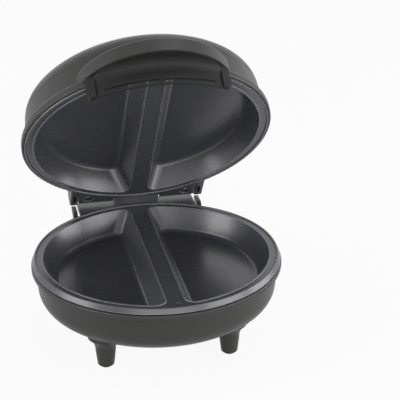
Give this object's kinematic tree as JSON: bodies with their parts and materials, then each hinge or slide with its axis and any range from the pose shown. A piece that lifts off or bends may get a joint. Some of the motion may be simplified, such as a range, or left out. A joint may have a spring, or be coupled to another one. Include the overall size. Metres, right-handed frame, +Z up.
{
  "type": "omelette maker",
  "caption": "Round countertop omelette maker: legged bowl and domed lid hinged at the back, coated plates with half-moon cavities, front grip.",
  "frame": {"origin": "on the table, in the middle of the opened appliance's outline seen from above; the bowl's axis stands 9.1 mm in front of it", "axes": "+Z up, -Y towards the grip and the user, +Y towards the hinge, +X to the user's right"},
  "size_m": [0.21, 0.2278, 0.2738],
  "materials": {
    "shell_plastic": "satin charcoal moulding",
    "grip_plastic": "fine matte black moulding",
    "pad_rubber": "soft black pads",
    "plate_coating": "cast aluminium under a satin dark grey release coating",
    "element_steel": "heat-dulled sheathed tube",
    "clip_steel": "bright stamped strip",
    "screw_steel": "zinc-plated",
    "shield_sheet": "mill finish sheet",
    "thermostat_body": "dark brown moulding",
    "fuse_sleeve": "woven glass sleeve",
    "block_ceramic": "unglazed pale ceramic",
    "terminal_brass": "plain brass",
    "lead_sleeve": "heat-proof sleeve",
    "gland_plastic": "black bush",
    "holder_plastic": "natural moulding",
    "lamp_glass": "clear bulbs",
    "power_lens_red": "translucent red",
    "ready_lens_green": "translucent green"
  },
  "bodies": {
    "base": {"base_shell": "shell_plastic", "foot_pads": "pad_rubber", "lower_plate": "plate_coating", "lower_element": "element_steel", "lower_element_clips": "clip_steel", "lower_clip_screws": "screw_steel", "lower_heat_shield": "shield_sheet", "base_screws": "screw_steel", "thermostat": "thermostat_body", "thermostat_bracket": "clip_steel", "thermal_fuse": "fuse_sleeve", "fuse_clip": "clip_steel", "terminal_block": "block_ceramic", "terminal_screws": "terminal_brass", "base_leads": "lead_sleeve", "cord_gland": "gland_plastic", "hinge_pin": "screw_steel", "hinge_washers": "clip_steel"},
    "lid": {"lid_shell": "shell_plastic", "handle_guard": "grip_plastic", "guard_screws": "screw_steel", "upper_plate": "plate_coating", "lug_screws": "screw_steel", "upper_element": "element_steel", "upper_element_clips": "clip_steel", "upper_clip_screws": "screw_steel", "upper_heat_shield": "shield_sheet", "upper_shield_screws": "screw_steel", "lamp_holder": "holder_plastic", "holder_screw": "screw_steel", "indicator_lamps": "lamp_glass", "power_lens": "power_lens_red", "ready_lens": "ready_lens_green"}
  },
  "joints": [
    {"name": "lid_hinge", "type": "hinge", "parent": "base", "child": "lid", "pos_m": [0, 0.1002, 0.087], "axis": [-1, 0, 0], "range_deg": [-51.3, 33.7]}
  ]
}
